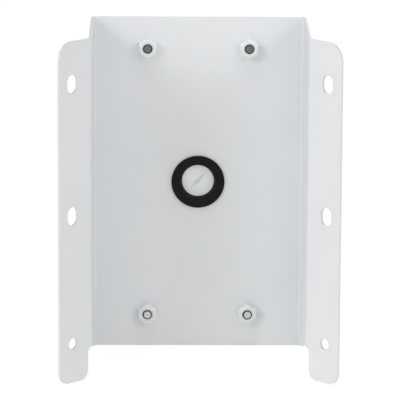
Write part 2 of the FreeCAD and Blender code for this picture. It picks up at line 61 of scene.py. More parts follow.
def linear(hex_colour: str) -> tuple[float, float, float, float]:
    """Turn an sRGB hex colour to linear RGBA.

    Args:
        hex_colour: A colour such as "#d8dadc".

    Returns:
        The red, green, blue and alpha that a shader takes.
    """
    channels = [int(hex_colour[k:k + 2], 16) / 255.0 for k in (1, 3, 5)]
    red, green, blue = (c / 12.92 if c <= 0.04045 else ((c + 0.055) / 1.055) ** 2.4 for c in channels)
    return (red, green, blue, 1.0)


def add_node(tree: bpy.types.NodeTree, kind: str, inputs: dict[Any, Any] | None = None,
             **settings: Any) -> bpy.types.Node:
    """Add a node with its settings, its values and its links.

    Args:
        tree: The node tree that takes the node.
        kind: The node's type, such as "ShaderNodeBump".
        inputs: For each input's name or number, a value to set or an output socket to link.
        **settings: The node's own settings.

    Returns:
        The new node.
    """
    node = tree.nodes.new(kind)
    for name, value in settings.items():
        setattr(node, name, value)
    for key, value in (inputs or {}).items():
        if isinstance(value, bpy.types.NodeSocket):
            tree.links.new(value, node.inputs[key])
        else:
            node.inputs[key].default_value = value
    return node


def new_material(name: str) -> tuple[bpy.types.Material, bpy.types.NodeTree]:
    """Make a material whose node tree is empty.

    Args:
        name: The material's name.

    Returns:
        The material and its tree.
    """
    material = bpy.data.materials.new(name)
    material.use_nodes = True
    material.node_tree.nodes.clear()
    return material, material.node_tree


def per_metre(size_mm: float) -> float:
    """Turn the real size of a pattern's grain to a texture scale on coordinates in metres."""
    return 1000.0 / size_mm


@dataclass(frozen=True)
class PowderCoat:
    """White polyester powder, sprayed on steel and baked.

    It melts to a closed satin skin. The eye sees soft wide highlights, a faint orange peel and a
    shade that drifts a little where the coat is thicker. A painted shade makes the faces turned up
    or down greyer, such as the cut edges along the top and the bottom. The peel is drawn at 2.2 mm,
    a little coarser than the real millimetre and a half, so that it shows.
    """

    name: str
    colour: str = "#e4e6e9"
    thick_coat: str = "#dee1e4"
    # painted shade: a greyer colour for faces turned up or down, such as the top and bottom cut edges
    painted_up_down_shade: str = "#c6c8cb"
    painted_shade_from_turn: float = 0.3
    painted_shade_full_turn: float = 0.9
    drift_mm: float = 60.0
    peel_mm: float = 2.2
    peel_depth_mm: float = 0.012
    grit_mm: float = 0.5
    grit_depth_mm: float = 0.002
    roughness: float = 0.42
    roughness_drift: float = 0.06
    ior: float = 1.5

    def material(self) -> bpy.types.Material:
        """Build the coat's shader.

        Returns:
            The finished material.
        """
        material, tree = new_material(self.name)
        place = add_node(tree, "ShaderNodeTexCoord").outputs["Object"]
        drift = add_node(tree, "ShaderNodeTexNoise", {
            "Vector": place, "Scale": per_metre(self.drift_mm), "Detail": 2.0})
        shade = add_node(tree, "ShaderNodeMix", {
            "Factor": drift.outputs["Fac"], "A": linear(self.thick_coat), "B": linear(self.colour)},
            data_type="RGBA")
        # painted shade: faces turned up or down take the greyer colour, by their direction alone
        facing = add_node(tree, "ShaderNodeSeparateXYZ", {
            "Vector": add_node(tree, "ShaderNodeNewGeometry").outputs["True Normal"]})
        upright = add_node(tree, "ShaderNodeMath", {0: facing.outputs["Z"]}, operation="ABSOLUTE")
        painted_shade_mask = add_node(tree, "ShaderNodeMapRange", {
            "Value": upright.outputs["Value"],
            "From Min": self.painted_shade_from_turn, "From Max": self.painted_shade_full_turn})
        up_down_shaded = add_node(tree, "ShaderNodeMix", {
            "Factor": painted_shade_mask.outputs["Result"], "A": shade.outputs["Result"], "B": linear(self.painted_up_down_shade)},
            data_type="RGBA")
        gloss = add_node(tree, "ShaderNodeMapRange", {
            "Value": drift.outputs["Fac"],
            "To Min": self.roughness - self.roughness_drift,
            "To Max": self.roughness + self.roughness_drift})
        peel = add_node(tree, "ShaderNodeTexNoise", {
            "Vector": place, "Scale": per_metre(self.peel_mm), "Detail": 1.0})
        grit = add_node(tree, "ShaderNodeTexNoise", {
            "Vector": place, "Scale": per_metre(self.grit_mm), "Detail": 2.0})
        waves = add_node(tree, "ShaderNodeBump", {
            "Height": peel.outputs["Fac"], "Distance": mm(self.peel_depth_mm), "Strength": 1.0})
        skin = add_node(tree, "ShaderNodeBump", {
            "Height": grit.outputs["Fac"], "Distance": mm(self.grit_depth_mm), "Strength": 1.0,
            "Normal": waves.outputs["Normal"]})
        coat = add_node(tree, "ShaderNodeBsdfPrincipled", {
            "Base Color": up_down_shaded.outputs["Result"], "Roughness": gloss.outputs["Result"],
            "IOR": self.ior, "Normal": skin.outputs["Normal"]})
        add_node(tree, "ShaderNodeOutputMaterial", {"Surface": coat.outputs["BSDF"]})
        return material


@dataclass(frozen=True)
class TurnedSteel:
    """Stainless steel hardware, cold headed and tumbled.

    It is a grey metal with a broken satin shine. Fine scratches run across it, and the shade
    changes a little from dent to dent. A painted shade darkens the shanks towards their tips, for
    the shade and dark reflections in the thread. The flat ends stay clean, except on the upper
    pair, where a painted reflection darkens them.
    """

    name: str
    colour: str = "#cfcfcd"
    worn: str = "#b2b2b0"
    # painted shade and reflection: a near-black colour for the threaded tips and the upper pair's flat ends
    painted_dark: str = "#3c3c3b"
    painted_dark_from_y_mm: float = 0.0
    painted_dark_full_y_mm: float = -6.0
    painted_dark_low_z_mm: float = -60.0
    painted_dark_high_z_mm: float = 60.0
    painted_dark_low_share: float = 0.0
    painted_dark_high_share: float = 0.8
    painted_dark_on_thread: float = 0.92
    end_turn: float = 0.96
    patch_mm: float = 3.0
    scratch_mm: float = 0.35
    scratch_stretch: float = 9.0
    scratch_depth_mm: float = 0.006
    roughness_low: float = 0.24
    roughness_high: float = 0.42

    def material(self) -> bpy.types.Material:
        """Build the metal's shader.

        Returns:
            The finished material.
        """
        material, tree = new_material(self.name)
        place = add_node(tree, "ShaderNodeTexCoord").outputs["Object"]
        patches = add_node(tree, "ShaderNodeTexNoise", {
            "Vector": place, "Scale": per_metre(self.patch_mm), "Detail": 4.0})
        shade = add_node(tree, "ShaderNodeMix", {
            "Factor": patches.outputs["Fac"], "A": linear(self.worn), "B": linear(self.colour)},
            data_type="RGBA")
        axes = add_node(tree, "ShaderNodeSeparateXYZ", {"Vector": place})
        # painted shade: darker towards the tip; flat ends darker on the upper pair as a painted reflection
        towards_tip = add_node(tree, "ShaderNodeMapRange", {
            "Value": axes.outputs["Y"], "From Min": mm(self.painted_dark_from_y_mm), "From Max": mm(self.painted_dark_full_y_mm),
            "To Min": 0.0, "To Max": 1.0})
        by_height = add_node(tree, "ShaderNodeMapRange", {
            "Value": axes.outputs["Z"], "From Min": mm(self.painted_dark_low_z_mm), "From Max": mm(self.painted_dark_high_z_mm),
            "To Min": self.painted_dark_low_share, "To Max": self.painted_dark_high_share})
        facing = add_node(tree, "ShaderNodeSeparateXYZ", {
            "Vector": add_node(tree, "ShaderNodeNewGeometry").outputs["True Normal"]})
        flat_end = add_node(tree, "ShaderNodeMath", {
            0: facing.outputs["Y"], 1: -self.end_turn}, operation="LESS_THAN")
        painted_dark_share = add_node(tree, "ShaderNodeMix", {
            "Factor": flat_end.outputs["Value"], "A": self.painted_dark_on_thread, "B": by_height.outputs["Result"]})
        painted_dark_amount = add_node(tree, "ShaderNodeMath", {
            0: towards_tip.outputs["Result"], 1: painted_dark_share.outputs["Result"]}, operation="MULTIPLY")
        darkened_colour = add_node(tree, "ShaderNodeMix", {
            "Factor": painted_dark_amount.outputs["Value"], "A": shade.outputs["Result"], "B": linear(self.painted_dark)},
            data_type="RGBA")
        long_way = add_node(tree, "ShaderNodeMapping", {
            "Vector": place, "Scale": (1.0 / self.scratch_stretch, 1.0, 1.0)})
        scratches = add_node(tree, "ShaderNodeTexNoise", {
            "Vector": long_way.outputs["Vector"], "Scale": per_metre(self.scratch_mm), "Detail": 3.0})
        gloss = add_node(tree, "ShaderNodeMapRange", {
            "Value": scratches.outputs["Fac"], "To Min": self.roughness_low, "To Max": self.roughness_high})
        relief = add_node(tree, "ShaderNodeBump", {
            "Height": scratches.outputs["Fac"], "Distance": mm(self.scratch_depth_mm), "Strength": 1.0})
        steel = add_node(tree, "ShaderNodeBsdfPrincipled", {
            "Base Color": darkened_colour.outputs["Result"], "Metallic": 1.0,
            "Roughness": gloss.outputs["Result"], "Normal": relief.outputs["Normal"]})
        add_node(tree, "ShaderNodeOutputMaterial", {"Surface": steel.outputs["BSDF"]})
        return material


@dataclass(frozen=True)
class MouldedRubber:
    """Moulded rubber with a fine grained skin from its mould.

    It hardly shines. The grain breaks up what light it returns, and a trace of release dust
    leaves the shade a little uneven.
    """

    name: str
    colour: str
    dusty: str
    dust_mm: float = 9.0
    grain_mm: float = 0.45
    grain_depth_mm: float = 0.01
    roughness: float = 0.62
    ior: float = 1.52
    specular: float = 0.5
    scatter: float = 0.0
    scatter_mm: float = 1.5

    def shade(self, tree: bpy.types.NodeTree, place: bpy.types.NodeSocket) -> bpy.types.NodeSocket:
        """Add the nodes for the rubber's colour.

        Args:
            tree: The material's node tree.
            place: The object's coordinates.

        Returns:
            The colour.
        """
        dust = add_node(tree, "ShaderNodeTexNoise", {
            "Vector": place, "Scale": per_metre(self.dust_mm), "Detail": 5.0})
        return add_node(tree, "ShaderNodeMix", {
            "Factor": dust.outputs["Fac"], "A": linear(self.colour), "B": linear(self.dusty)},
            data_type="RGBA").outputs["Result"]

    def material(self) -> bpy.types.Material:
        """Build the rubber's shader.

        Returns:
            The finished material.
        """
        material, tree = new_material(self.name)
        place = add_node(tree, "ShaderNodeTexCoord").outputs["Object"]
        grain = add_node(tree, "ShaderNodeTexNoise", {
            "Vector": place, "Scale": per_metre(self.grain_mm), "Detail": 2.0})
        relief = add_node(tree, "ShaderNodeBump", {
            "Height": grain.outputs["Fac"], "Distance": mm(self.grain_depth_mm), "Strength": 1.0})
        rubber = add_node(tree, "ShaderNodeBsdfPrincipled", {
            "Base Color": self.shade(tree, place), "Roughness": self.roughness, "IOR": self.ior,
            "Specular IOR Level": self.specular, "Subsurface Weight": self.scatter,
            "Subsurface Radius": (1.0, 1.0, 1.0), "Subsurface Scale": mm(self.scatter_mm),
            "Normal": relief.outputs["Normal"]})
        add_node(tree, "ShaderNodeOutputMaterial", {"Surface": rubber.outputs["BSDF"]})
        return material


@dataclass(frozen=True)
class SlitRubber(MouldedRubber):
    """Thin light rubber with a slit that cables are pushed through.

    Light gets through it, so its shadows are soft. Along the middle of the slit a painted shade
    makes it greyer.
    """

    painted_slit_shade: str = "#d0d3d7"
    painted_slit_shade_wide_mm: float = 2.4
    painted_slit_shade_long_mm: float = 8.0
    slit_deg: float = SLIT_DEG

    def shade(self, tree: bpy.types.NodeTree, place: bpy.types.NodeSocket) -> bpy.types.NodeSocket:
        """Add the nodes for the rubber's colour, with a painted shade towards the slit.

        Args:
            tree: The material's node tree.
            place: The object's coordinates.

        Returns:
            The colour.
        """
        # painted shade: a grey lens along the slit stands for the shade in its groove
        along = add_node(tree, "ShaderNodeMapping", {
            "Vector": place, "Rotation": (0.0, -math.radians(self.slit_deg), 0.0),
            "Scale": (mm(self.painted_slit_shade_long_mm), 1.0, mm(self.painted_slit_shade_wide_mm))}, vector_type="TEXTURE")
        near = add_node(tree, "ShaderNodeTexGradient", {
            "Vector": along.outputs["Vector"]}, gradient_type="SPHERICAL")
        return add_node(tree, "ShaderNodeMix", {
            "Factor": near.outputs["Fac"], "A": super().shade(tree, place), "B": linear(self.painted_slit_shade)},
            data_type="RGBA").outputs["Result"]


class Slot(Enum):
    """The material slots that the frame's record names."""

    WHITE_COAT = "white_coat"
    NUT_COAT = "nut_coat"
    BOLT_STEEL = "bolt_steel"
    WASHER_STEEL = "washer_steel"
    BLACK_RUBBER = "black_rubber"
    GREY_RUBBER = "grey_rubber"


class Cut(Enum):
    """What a second shape does to the first."""

    TAKE_AWAY = "DIFFERENCE"
    KEEP_COMMON = "INTERSECT"
    JOIN = "UNION"


FINISHES = {
    Slot.WHITE_COAT: PowderCoat("white_powder_coat"),
    Slot.NUT_COAT: PowderCoat("white_powder_coat_on_nuts", colour="#e5e7e9", thick_coat="#dee1e3",
                              painted_up_down_shade="#e5e7e9"),
    Slot.BOLT_STEEL: TurnedSteel("stainless_bolt_steel"),
    Slot.WASHER_STEEL: TurnedSteel("stainless_washer_steel", colour="#c6c6c4", worn="#a8a8a6"),
    Slot.BLACK_RUBBER: MouldedRubber("black_grommet_rubber", colour="#101111", dusty="#151616", specular=0.12),
    Slot.GREY_RUBBER: SlitRubber("grey_membrane_rubber", colour="#f6f9fd", dusty="#eef1f5", roughness=0.5,
                                 scatter=0.7),
}
# The nuts' threads are bare steel, and are painted near black to stand for the shade in the bore.
BARE_THREAD_PAINTED_DARK = TurnedSteel("bare_thread_steel_painted_dark", colour="#7c7c7a", worn="#60605e", painted_dark="#1c1c1b")


def only(piece: bpy.types.Object) -> None:
    """Select one object and nothing else, and make it active.

    Args:
        piece: The object to select.
    """
    bpy.ops.object.select_all(action="DESELECT")
    piece.select_set(True)
    bpy.context.view_layer.objects.active = piece


def edit(piece: bpy.types.Object, kind: str, *, everything: bool = True) -> None:
    """Open a piece in edit mode with all or none of it selected.

    Args:
        piece: The object to edit.
        kind: What is selected: "VERT", "EDGE" or "FACE".
        everything: Whether all of the mesh starts selected.
    """
    only(piece)
    bpy.ops.object.mode_set(mode="EDIT")
    bpy.ops.mesh.select_mode(type=kind)
    bpy.ops.mesh.select_all(action="SELECT" if everything else "DESELECT")


def close_edit() -> None:
    """Leave edit mode."""
    bpy.ops.object.mode_set(mode="OBJECT")


def pick(piece: bpy.types.Object, kind: str, test: Callable[[Any, bpy.types.Mesh], bool]) -> None:
    """Open a piece in edit mode with only what passes a test selected.

    Args:
        piece: The object to edit.
        kind: What is tested: "VERT", "EDGE" or "FACE".
        test: Takes an element and its mesh, and tells whether it is selected.
    """
    edit(piece, kind, everything=False)
    close_edit()
    mesh = piece.data
    elements = {"VERT": mesh.vertices, "EDGE": mesh.edges, "FACE": mesh.polygons}[kind]
    for element in elements:
        element.select = test(element, mesh)
    bpy.ops.object.mode_set(mode="EDIT")


def apply_modifier(piece: bpy.types.Object, kind: str, **settings: Any) -> None:
    """Add a modifier and apply it to the piece's mesh.

    Args:
        piece: The object that takes it.
        kind: The modifier's type, such as "BEVEL".
        **settings: The modifier's own settings.
    """
    only(piece)
    modifier = piece.modifiers.new(kind.lower(), kind)
    for name, value in settings.items():
        setattr(modifier, name, value)
    bpy.ops.object.modifier_apply(modifier=modifier.name)


def cut(piece: bpy.types.Object, tool: bpy.types.Object, how: Cut) -> None:
    """Cut a piece with a second shape, which is used up.

    Args:
        piece: The object that stays.
        tool: The closed shape that cuts it or joins it.
        how: Whether the tool's inside is taken away, kept or added.
    """
    apply_modifier(piece, "BOOLEAN", object=tool, operation=how.value, solver="EXACT")
    bpy.data.objects.remove(tool)


def soften(piece: bpy.types.Object, width_mm: float, angle_deg: float = 30.0, segments: int = 3) -> None:
    """Round every edge of a piece that turns by more than an angle.

    Args:
        piece: The object to round.
        width_mm: How far each side of an edge is cut back, in millimetres.
        angle_deg: The least turn that counts as an edge.
        segments: How many faces go round an edge.
    """
    apply_modifier(piece, "BEVEL", width=mm(width_mm), segments=segments, limit_method="ANGLE",
                   angle_limit=math.radians(angle_deg), offset_type="OFFSET", use_clamp_overlap=True,
                   harden_normals=False)


def smooth(piece: bpy.types.Object, angle_deg: float = 30.0) -> None:
    """Shade a piece smooth, keep its flats flat and its real edges sharp.

    Args:
        piece: The object to shade.
        angle_deg: The least turn between two faces that stays sharp.
    """
    only(piece)
    bpy.ops.object.shade_smooth_by_angle(angle=math.radians(angle_deg))
    apply_modifier(piece, "WEIGHTED_NORMAL", keep_sharp=True, weight=FLATS_FIRST)


def settle(piece: bpy.types.Object) -> None:
    """Put a piece's place, turn and scale into its mesh.

    Args:
        piece: The object, which ends at the origin, unturned.
    """
    only(piece)
    bpy.ops.object.transform_apply(location=True, rotation=True, scale=True)


def trace(name: str, points: list[tuple[float, float]]) -> bpy.types.Object:
    """Draw a line through points of the half plane beside the Y axis.

    Args:
        name: The new object's name.
        points: For each point, its distance from the Y axis and its Y, in millimetres.

    Returns:
        An object whose mesh is one open line of edges.
    """
    bpy.ops.object.select_all(action="DESELECT")
    bpy.ops.mesh.primitive_plane_add(size=mm(1.0))
    line = bpy.context.object
    line.name = name
    edit(line, "VERT")
    bpy.ops.mesh.merge(type="CENTER")
    start_x, start_y = points[0]
    bpy.ops.transform.translate(value=(mm(start_x), mm(start_y), 0.0))
    for (here_x, here_y), (next_x, next_y) in zip(points, points[1:]):
        step = (mm(next_x - here_x), mm(next_y - here_y), 0.0)
        bpy.ops.mesh.extrude_vertices_move(TRANSFORM_OT_translate={"value": step})
    close_edit()
    return line


def lathe(name: str, points: list[tuple[float, float]], steps: int = 96) -> bpy.types.Object:
    """Spin a closed outline once round the Y axis to a solid.

    Args:
        name: The new object's name.
        points: The outline's corners, as distance from the axis and Y, in millimetres.
        steps: How many faces go round.

    Returns:
        The turned solid, centred on the Y axis.
    """
    solid = trace(name, points + points[:1])
    edit(solid, "VERT")
    bpy.ops.mesh.spin(steps=steps, angle=FULL_TURN, center=(0.0, 0.0, 0.0), axis=(0.0, 1.0, 0.0))
    bpy.ops.mesh.select_all(action="SELECT")
    bpy.ops.mesh.remove_doubles(threshold=mm(SEAM))
    bpy.ops.mesh.delete_loose()
    bpy.ops.mesh.select_all(action="SELECT")
    bpy.ops.mesh.normals_make_consistent(inside=False)
    close_edit()
    return solid


def arc(centre: tuple[float, float], radius: float, start_deg: float, end_deg: float,
        steps: int = 8) -> list[tuple[float, float]]:
    """List points on an arc.

    Args:
        centre: The arc's centre.
        radius: Its radius.
        start_deg: The angle of the first point, from the first axis towards the second.
        end_deg: The angle of the last point.
        steps: How many parts the arc has.

    Returns:
        The points from start to end.
    """
    angles = [math.radians(start_deg + (end_deg - start_deg) * k / steps) for k in range(steps + 1)]
    return [(centre[0] + radius * math.cos(a), centre[1] + radius * math.sin(a)) for a in angles]


def duplicate(piece: bpy.types.Object, name: str) -> bpy.types.Object:
    """Copy a piece with its own mesh.

    Args:
        piece: The object to copy.
        name: The copy's name.

    Returns:
        The copy, linked to the scene.
    """
    twin = piece.copy()
    twin.data = piece.data.copy()
    twin.name = name
    bpy.context.scene.collection.objects.link(twin)
    return twin


def copies(piece: bpy.types.Object, places: Iterable[tuple[float, float]]) -> list[bpy.types.Object]:
    """Copy a piece, modelled on the Y axis, to places in the plate's plane.

    Args:
        piece: The model, which becomes the first of the set.
        places: The X and Z of each copy, in millimetres.

    Returns:
        One object for each place, each with its own mesh, numbered from one.
    """
    places = list(places)
    base = piece.name
    twins = [piece] + [duplicate(piece, base) for _ in places[1:]]
    for number, (twin, (x, z)) in enumerate(zip(twins, places), start=1):
        twin.name = f"{base}_{number}"
        twin.data.name = twin.name
        twin.data.transform(Matrix.Translation(Vector((mm(x), 0.0, mm(z)))))
    return twins


def dress(piece: bpy.types.Object, material: bpy.types.Material, node: str) -> None:
    """Give a piece its material and body, and hide the CAD node that it stands for.

    Args:
        piece: The finished piece.
        material: Its material.
        node: The CAD node that the piece replaces.
    """
    piece.data.materials.clear()
    piece.data.materials.append(material)
    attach(piece, ROOT)
    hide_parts(node)
    log.info("%s: %d faces", piece.name, len(piece.data.polygons))


@dataclass
class Stack:
    """Where the bolts stand and how high each layer under their heads is, in millimetres."""

    spacing_x: float = 78.0
    spacing_z: float = 210.0
    sheet: float = 2.0
    washer: float = 1.6
    spring: float = 2.0
    head: float = 5.3
    nut: float = 6.5
    bolt: float = 12.0

    def places(self) -> list[tuple[float, float]]:
        """List the X and Z of the four bolts, in millimetres."""
        return [(x * self.spacing_x / 2, z * self.spacing_z / 2) for z in (1, -1) for x in (-1, 1)]

    def under_head(self) -> float:
        """Return the Y of the underside of a bolt's head."""
        return self.washer + self.spring


@dataclass
class FoldedSheet:
    """The bracket's one folded sheet, with the edges that its coat rounds."""

    node: str = "corner_plate"
    edge_round: float = 0.45
    edge_angle: float = 40.0
    smooth_angle: float = 35.0
    flat_angle: float = 0.4
    same_point: float = 0.002

    def build(self) -> bpy.types.Object:
        """Copy the frame's sheet, join its triangles and round its cut edges.

        Returns:
            The sheet as one closed piece.
        """
        sheet = bpy.data.objects.new("folded_sheet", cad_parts[self.node].data.copy())
        bpy.context.scene.collection.objects.link(sheet)
        edit(sheet, "VERT")
        bpy.ops.mesh.remove_doubles(threshold=mm(self.same_point))
        bpy.ops.mesh.dissolve_limited(angle_limit=math.radians(self.flat_angle))
        close_edit()
        soften(sheet, self.edge_round, angle_deg=self.edge_angle)
        smooth(sheet, self.smooth_angle)
        return sheet


@dataclass
class Thread:
    """A right-hand M8 thread about the Y axis, in millimetres."""

    width: float = 8.0
    pitch: float = 1.25
    crest: float = 0.18
    foot: float = 1.0
    depth: float = 0.7
    overlap: float = 0.15
    steps: int = 36

    def rod(self, name: str, low: float, high: float, grow: float = 0.0) -> bpy.types.Object:
        """Wind a threaded rod that reaches past both ends, always in the same phase.

        Args:
            name: The new object's name.
            low: The Y of the lower end.
            high: The Y of the upper end.
            grow: How much wider than the nominal thread it is, on the radius.

        Returns:
            A closed threaded rod.
        """
        first = math.floor(low / self.pitch) - 1
        turns = math.ceil(high / self.pitch) + 1 - first
        start = first * self.pitch
        outer = self.width / 2 + grow
        core = outer - self.depth
        flank = (self.foot + 2 * grow - self.crest) / 2
        section = [(core - self.overlap, start - grow), (outer, start - grow + flank),
                   (outer, start - grow + flank + self.crest), (core - self.overlap, start + self.foot + grow)]
        ridge = trace(name + "_ridge", section + section[:1])
        merge_close(ridge)
        apply_modifier(ridge, "SCREW", axis="Y", angle=FULL_TURN, screw_offset=mm(self.pitch),
                       iterations=turns, steps=self.steps, render_steps=self.steps,
                       use_normal_calculate=True)
        edit(ridge, "VERT")
        bpy.ops.mesh.fill_holes(sides=0)
        bpy.ops.mesh.select_all(action="SELECT")
        bpy.ops.mesh.normals_make_consistent(inside=False)
        close_edit()
        bottom, top = start - PAST, start + (turns + 1) * self.pitch + PAST
        rod = lathe(name, [(0.0, bottom), (core, bottom), (core, top), (0.0, top)], steps=self.steps)
        cut(rod, ridge, Cut.JOIN)
        return rod


def merge_close(piece: bpy.types.Object, distance_mm: float = 0.01) -> None:
    """Merge the points of a mesh that lie on each other.

    Args:
        piece: The object to clean.
        distance_mm: How near two points count as one, in millimetres.
    """
    edit(piece, "VERT")
    bpy.ops.mesh.remove_doubles(threshold=mm(distance_mm))
    close_edit()


def hexagon_block(name: str, flats: float, low: float, high: float, corner_round: float) -> bpy.types.Object:
    """Make a six-sided block on the Y axis with one corner up and its long edges rounded.

    Args:
        name: The new object's name.
        flats: The width over flats, in millimetres.
        low: The Y of one end.
        high: The Y of the other end.
        corner_round: The radius on the six long edges.

    Returns:
        The closed block.
    """
    bpy.ops.object.select_all(action="DESELECT")
    bpy.ops.mesh.primitive_cylinder_add(
        vertices=6, radius=mm(flats / math.sqrt(3)), depth=mm(high - low),
        location=(0.0, mm((low + high) / 2), 0.0), rotation=(math.pi / 2, 0.0, 0.0))
    block = bpy.context.object
    block.name = name
    settle(block)
    pick(block, "EDGE", runs_along_y)
    bpy.ops.mesh.bevel(offset=mm(corner_round), segments=4, affect="EDGES")
    close_edit()
    return block


def runs_along_y(edge: bpy.types.MeshEdge, mesh: bpy.types.Mesh) -> bool:
    """Tell whether an edge lies along the Y axis.

    Args:
        edge: The edge.
        mesh: The mesh that holds its corners.

    Returns:
        True for an edge along Y.
    """
    start, end = (mesh.vertices[k].co for k in edge.vertices)
    direction = (end - start).normalized()
    return abs(direction.y) > STRAIGHT


@dataclass
class Hexagons:
    """How a hexagon's free end is turned to a cone, in millimetres and degrees."""

    circle: float = 0.95
    slope: float = 30.0
    reach: float = 4.0
    rim_round: float = 0.4
    rim_steps: int = 4
    cone_steps: int = 120
    edge_angle: float = 24.0
    smooth_angle: float = 28.0

    def turn_end(self, block: bpy.types.Object, flats: float, low: float, high: float, free: float) -> None:
        """Trim a block to a cone at its free end.

        Args:
            block: The six-sided block.
            flats: Its width over flats.
            low: The Y of one end.
            high: The Y of the other end.
            free: Which of the two ends is trimmed.
        """
        inner = flats * self.circle / 2
        drop = self.reach * math.tan(math.radians(self.slope))
        side = 1.0 if free == high else -1.0
        fixed = (low if side > 0 else high) - side * PAST
        rim = (inner - self.rim_round * math.tan(math.radians(self.slope / 2)), free - side * self.rim_round)
        outline = ([(0.0, fixed), (inner + self.reach, fixed), (inner + self.reach, free - side * drop)]
                   + arc(rim, self.rim_round, side * (90.0 - self.slope), side * 90.0, steps=self.rim_steps)
                   + [(0.0, free)])
        cut(block, lathe("cone_end", outline, steps=self.cone_steps), Cut.KEEP_COMMON)


@dataclass
class WeldNuts:
    """The four nuts welded to the plate's inner face, coated with it."""

    stack: Stack
    thread: Thread
    hexagons: Hexagons
    flats: float = 14.0
    corner_round: float = 0.5
    edge_round: float = 0.28
    collar: float = 5.25
    collar_height: float = 1.5
    mouth: float = 4.5
    mouth_depth: float = 0.8
    play: float = 0.05
    bare: float = 3.7
    node: str = "weld_nuts"

    def build(self) -> tuple[list[bpy.types.Object], list[bpy.types.Object]]:
        """Model one nut and copy it to the four bolts.

        Returns:
            The coated nuts, and their threads, which a plug kept bare while the coat was sprayed.
        """
        face = -(self.stack.sheet + self.stack.nut)
        seat = -self.stack.sheet
        nut = hexagon_block("weld_nut", self.flats, face, seat, self.corner_round)
        self.hexagons.turn_end(nut, self.flats, face, seat, face)
        soften(nut, self.edge_round, angle_deg=self.hexagons.edge_angle)
        merge_close(nut)
        rim = seat + self.collar_height
        collar = [(0.0, seat - PAST), (self.collar, seat - PAST), (self.collar, rim), (0.0, rim)]
        cut(nut, lathe("collar", collar), Cut.JOIN)
        mouth = [(0.0, face - PAST), (self.mouth + PAST, face - PAST), (self.mouth, face),
                 (self.mouth - self.mouth_depth, face + self.mouth_depth), (0.0, face + self.mouth_depth)]
        cut(nut, lathe("mouth", mouth), Cut.TAKE_AWAY)
        cut(nut, self.thread.rod("tap", face, rim, grow=self.play), Cut.TAKE_AWAY)
        plug = [(0.0, face - PAST), (self.bare, face - PAST), (self.bare, rim + PAST), (0.0, rim + PAST)]
        tapped = duplicate(nut, "tapped_thread")
        cut(tapped, lathe("plug", plug), Cut.KEEP_COMMON)
        cut(nut, lathe("plug", plug), Cut.TAKE_AWAY)
        smooth(nut, self.hexagons.smooth_angle)
        smooth(tapped, self.hexagons.smooth_angle)
        return copies(nut, self.stack.places()), copies(tapped, self.stack.places())


@dataclass
class HexBolts:
    """The four bolts, put in from the outer face, with their threads and tips."""

    stack: Stack
    thread: Thread
    hexagons: Hexagons
    flats: float = 13.0
    corner_round: float = 0.3
    edge_round: float = 0.15
    tip_slope: float = 1.3
    play: float = 0.02
    turned_off: float = 0.01
    collar_height: float = 0.3
    collar_edge: float = 0.1
    collar_overlap: float = 0.5
    dish_depth: float = 0.25
    dish_round: float = 11.25
    dish_start_deg: float = -86.0
    dish_end_deg: float = -70.0
    dish_rim: float = 3.9
    same_point: float = 0.004
    node: str = "hex_bolts"

    def build(self) -> list[bpy.types.Object]:
        """Model one bolt with its head, washer face and thread, and copy it to the four places.

        Returns:
            The four bolts.
        """
        under = self.stack.under_head()
        top = under + self.stack.head
        tip = under - self.stack.bolt
        head = hexagon_block("hex_bolt", self.flats, under + self.collar_height, top, self.corner_round)
        self.hexagons.turn_end(head, self.flats, under + self.collar_height, top, top)
        soften(head, self.edge_round, angle_deg=self.hexagons.edge_angle)
        merge_close(head)
        face_r = self.flats * self.hexagons.circle / 2
        inside = under + self.collar_height + self.collar_overlap
        disc = [(0.0, under), (face_r - self.collar_edge, under), (face_r, under + self.collar_edge),
                (face_r, inside), (0.0, inside)]
        cut(head, lathe("washer_face", disc), Cut.JOIN)
        centre = (0.0, top + (self.dish_round - self.dish_depth))
        dish = ([(0.0, top - self.dish_depth)]
                + arc(centre, self.dish_round, self.dish_start_deg, self.dish_end_deg)
                + [(self.dish_rim, top + PAST), (0.0, top + PAST)])
        cut(head, lathe("dish", dish), Cut.TAKE_AWAY)
        outer = self.thread.width / 2 - self.turned_off
        envelope = [(0.0, tip), (outer - self.tip_slope, tip), (outer, tip + self.tip_slope),
                    (outer, under + PAST), (0.0, under + PAST)]
        shank = self.thread.rod("shank", tip, under, grow=-self.play)
        cut(shank, lathe("tip", envelope), Cut.KEEP_COMMON)
        cut(head, shank, Cut.JOIN)
        merge_close(head, self.same_point)
        smooth(head, self.hexagons.smooth_angle)
        return copies(head, self.stack.places())


@dataclass
class FlatWashers:
    """The plain washers on the plate's outer face."""

    stack: Stack
    outer: float = 8.0
    bore: float = 4.2
    edge_round: float = 0.3
    edge_angle: float = 50.0
    node: str = "flat_washers"

    def build(self) -> list[bpy.types.Object]:
        """Model one washer with a rolled outer edge and copy it to the four bolts.

        Returns:
            The four flat washers.
        """
        high = self.stack.washer
        outline = [(self.bore, 0.0), (self.outer, 0.0), (self.outer, high), (self.bore, high)]
        washer = lathe("flat_washer", outline)
        soften(washer, self.edge_round, angle_deg=self.edge_angle)
        smooth(washer)
        return copies(washer, self.stack.places())


